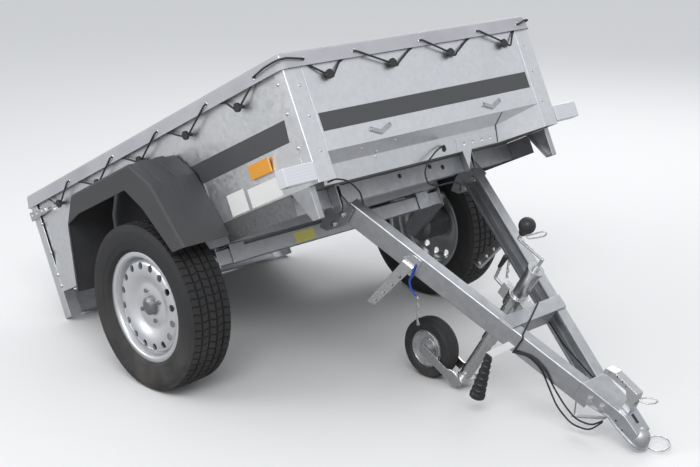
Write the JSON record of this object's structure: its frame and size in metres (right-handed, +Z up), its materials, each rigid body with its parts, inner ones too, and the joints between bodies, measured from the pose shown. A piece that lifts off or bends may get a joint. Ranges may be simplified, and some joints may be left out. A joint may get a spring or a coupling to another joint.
{
  "type": "single-axle tipping utility trailer",
  "caption": "Small single-axle utility trailer with its galvanised box tipped back under a laced cover, folding V drawbar on a jockey wheel, and plastic mudguards.",
  "frame": {"origin": "bottom centre of the parked trailer's bounding box, on the floor", "axes": "+X towards the coupling, +Y to the trailer's left, +Z up"},
  "size_m": [2.3699, 1.4366, 1.1048],
  "materials": {
    "amber_lens": "clear-coated",
    "black_plastic": "satin",
    "cord": "woven, matt",
    "cover_fabric": "coated tarpaulin, semi-matt",
    "floor_board": "phenolic-faced plywood",
    "guard_plastic": "fine grain, dark grey",
    "hub_steel": "bare, satin",
    "jockey_rubber": "matt",
    "red_lens": "clear-coated",
    "tyre_rubber": "matt",
    "wheel_steel": "silver paint, satin",
    "white_lens": "clear-coated",
    "zinc_fittings": "bright zinc plate",
    "zinc_frame": "hot-dip galvanised, matt",
    "zinc_sheet": "galvanised, satin"
  },
  "bodies": {
    "box": {"axle_arm_left": "zinc_frame", "axle_arm_right": "zinc_frame", "axle_saddles": "zinc_frame", "axle_tube": "zinc_frame", "catch_keepers": "zinc_frame", "corner_posts_front": "zinc_frame", "corner_posts_rear": "zinc_frame", "cover": "cover_fabric", "cover_rear_flap": "cover_fabric", "floor": "floor_board", "floor_members": "zinc_frame", "front_sill": "zinc_sheet", "hinge_bracket_left": "zinc_frame", "hinge_bracket_right": "zinc_frame", "hinge_member": "zinc_frame", "lacing": "cord", "lacing_knobs_front": "black_plastic", "lacing_knobs_left": "black_plastic", "lacing_knobs_right": "black_plastic", "lacing_rear": "cord", "light_bar": "zinc_frame", "marker_lamps": "white_lens", "mudguard_left": "guard_plastic", "mudguard_right": "guard_plastic", "side_reflectors": "amber_lens", "side_stays": "zinc_frame", "sill_plate": "zinc_sheet", "tail_lamps": "red_lens", "tailgate_hinges": "zinc_frame", "tailgate_latches": "zinc_fittings", "wall_front": "zinc_sheet", "wall_left": "zinc_sheet", "wall_right": "zinc_sheet"},
    "drawbar": {"coupling": "zinc_frame", "coupling_handle": "zinc_fittings", "drawbar_beam_left": "zinc_frame", "drawbar_beam_right": "zinc_frame", "drawbar_bridge": "zinc_frame", "drawbar_catches": "zinc_fittings", "hinge_plate_left": "zinc_frame", "hinge_plate_right": "zinc_frame", "jockey_clamp": "zinc_fittings", "jockey_crank": "zinc_fittings", "jockey_sleeve": "zinc_fittings", "plug": "black_plastic", "plug_holder": "zinc_fittings"},
    "wheel_left": {"hub_left": "hub_steel", "rim_left": "wheel_steel", "tyre_left": "tyre_rubber"},
    "wheel_right": {"hub_right": "hub_steel", "rim_right": "wheel_steel", "tyre_right": "tyre_rubber"},
    "jockey_fork": {"jockey_arm": "zinc_fittings"},
    "jockey_leg": {"jockey_leg": "zinc_fittings"},
    "jockey_wheel": {"jockey_rim": "wheel_steel", "jockey_tyre": "jockey_rubber"},
    "tailgate": {"lacing_knobs_tailgate": "black_plastic", "tailgate": "zinc_sheet"}
  },
  "joints": [
    {"name": "wheel_right_spin", "type": "hinge", "parent": "box", "child": "wheel_right", "pos_m": [-0.22705, -0.64, 0.273], "axis": [0, 1, 0], "continuous": true},
    {"name": "wheel_left_spin", "type": "hinge", "parent": "box", "child": "wheel_left", "pos_m": [-0.22705, 0.64, 0.273], "axis": [0, 1, 0], "continuous": true},
    {"name": "tailgate_hinge", "type": "hinge", "parent": "box", "child": "tailgate", "pos_m": [-1.03665, 0, 0.09824], "axis": [0, -1, 0], "range_deg": [0, 90], "deforming": ["cover_rear_flap", "lacing_rear"]},
    {"name": "drawbar_hinge", "type": "hinge", "parent": "box", "child": "drawbar", "pos_m": [0.25106, 0, 0.61592], "axis": [0, -1, 0], "range_deg": [0, 58.25]},
    {"name": "jockey_slide", "type": "slide", "parent": "drawbar", "child": "jockey_leg", "axis": [0.5501, 0, 0.8351], "range_m": [-0.05, 0.13]},
    {"name": "jockey_swivel", "type": "hinge", "parent": "jockey_leg", "child": "jockey_fork", "pos_m": [0.50414, 0, 0.04757], "axis": [0.5501, 0, 0.8351], "continuous": true},
    {"name": "jockey_wheel_spin", "type": "hinge", "parent": "jockey_fork", "child": "jockey_wheel", "pos_m": [0.35546, 0, 0.1], "axis": [0, 1, 0], "continuous": true}
  ]
}
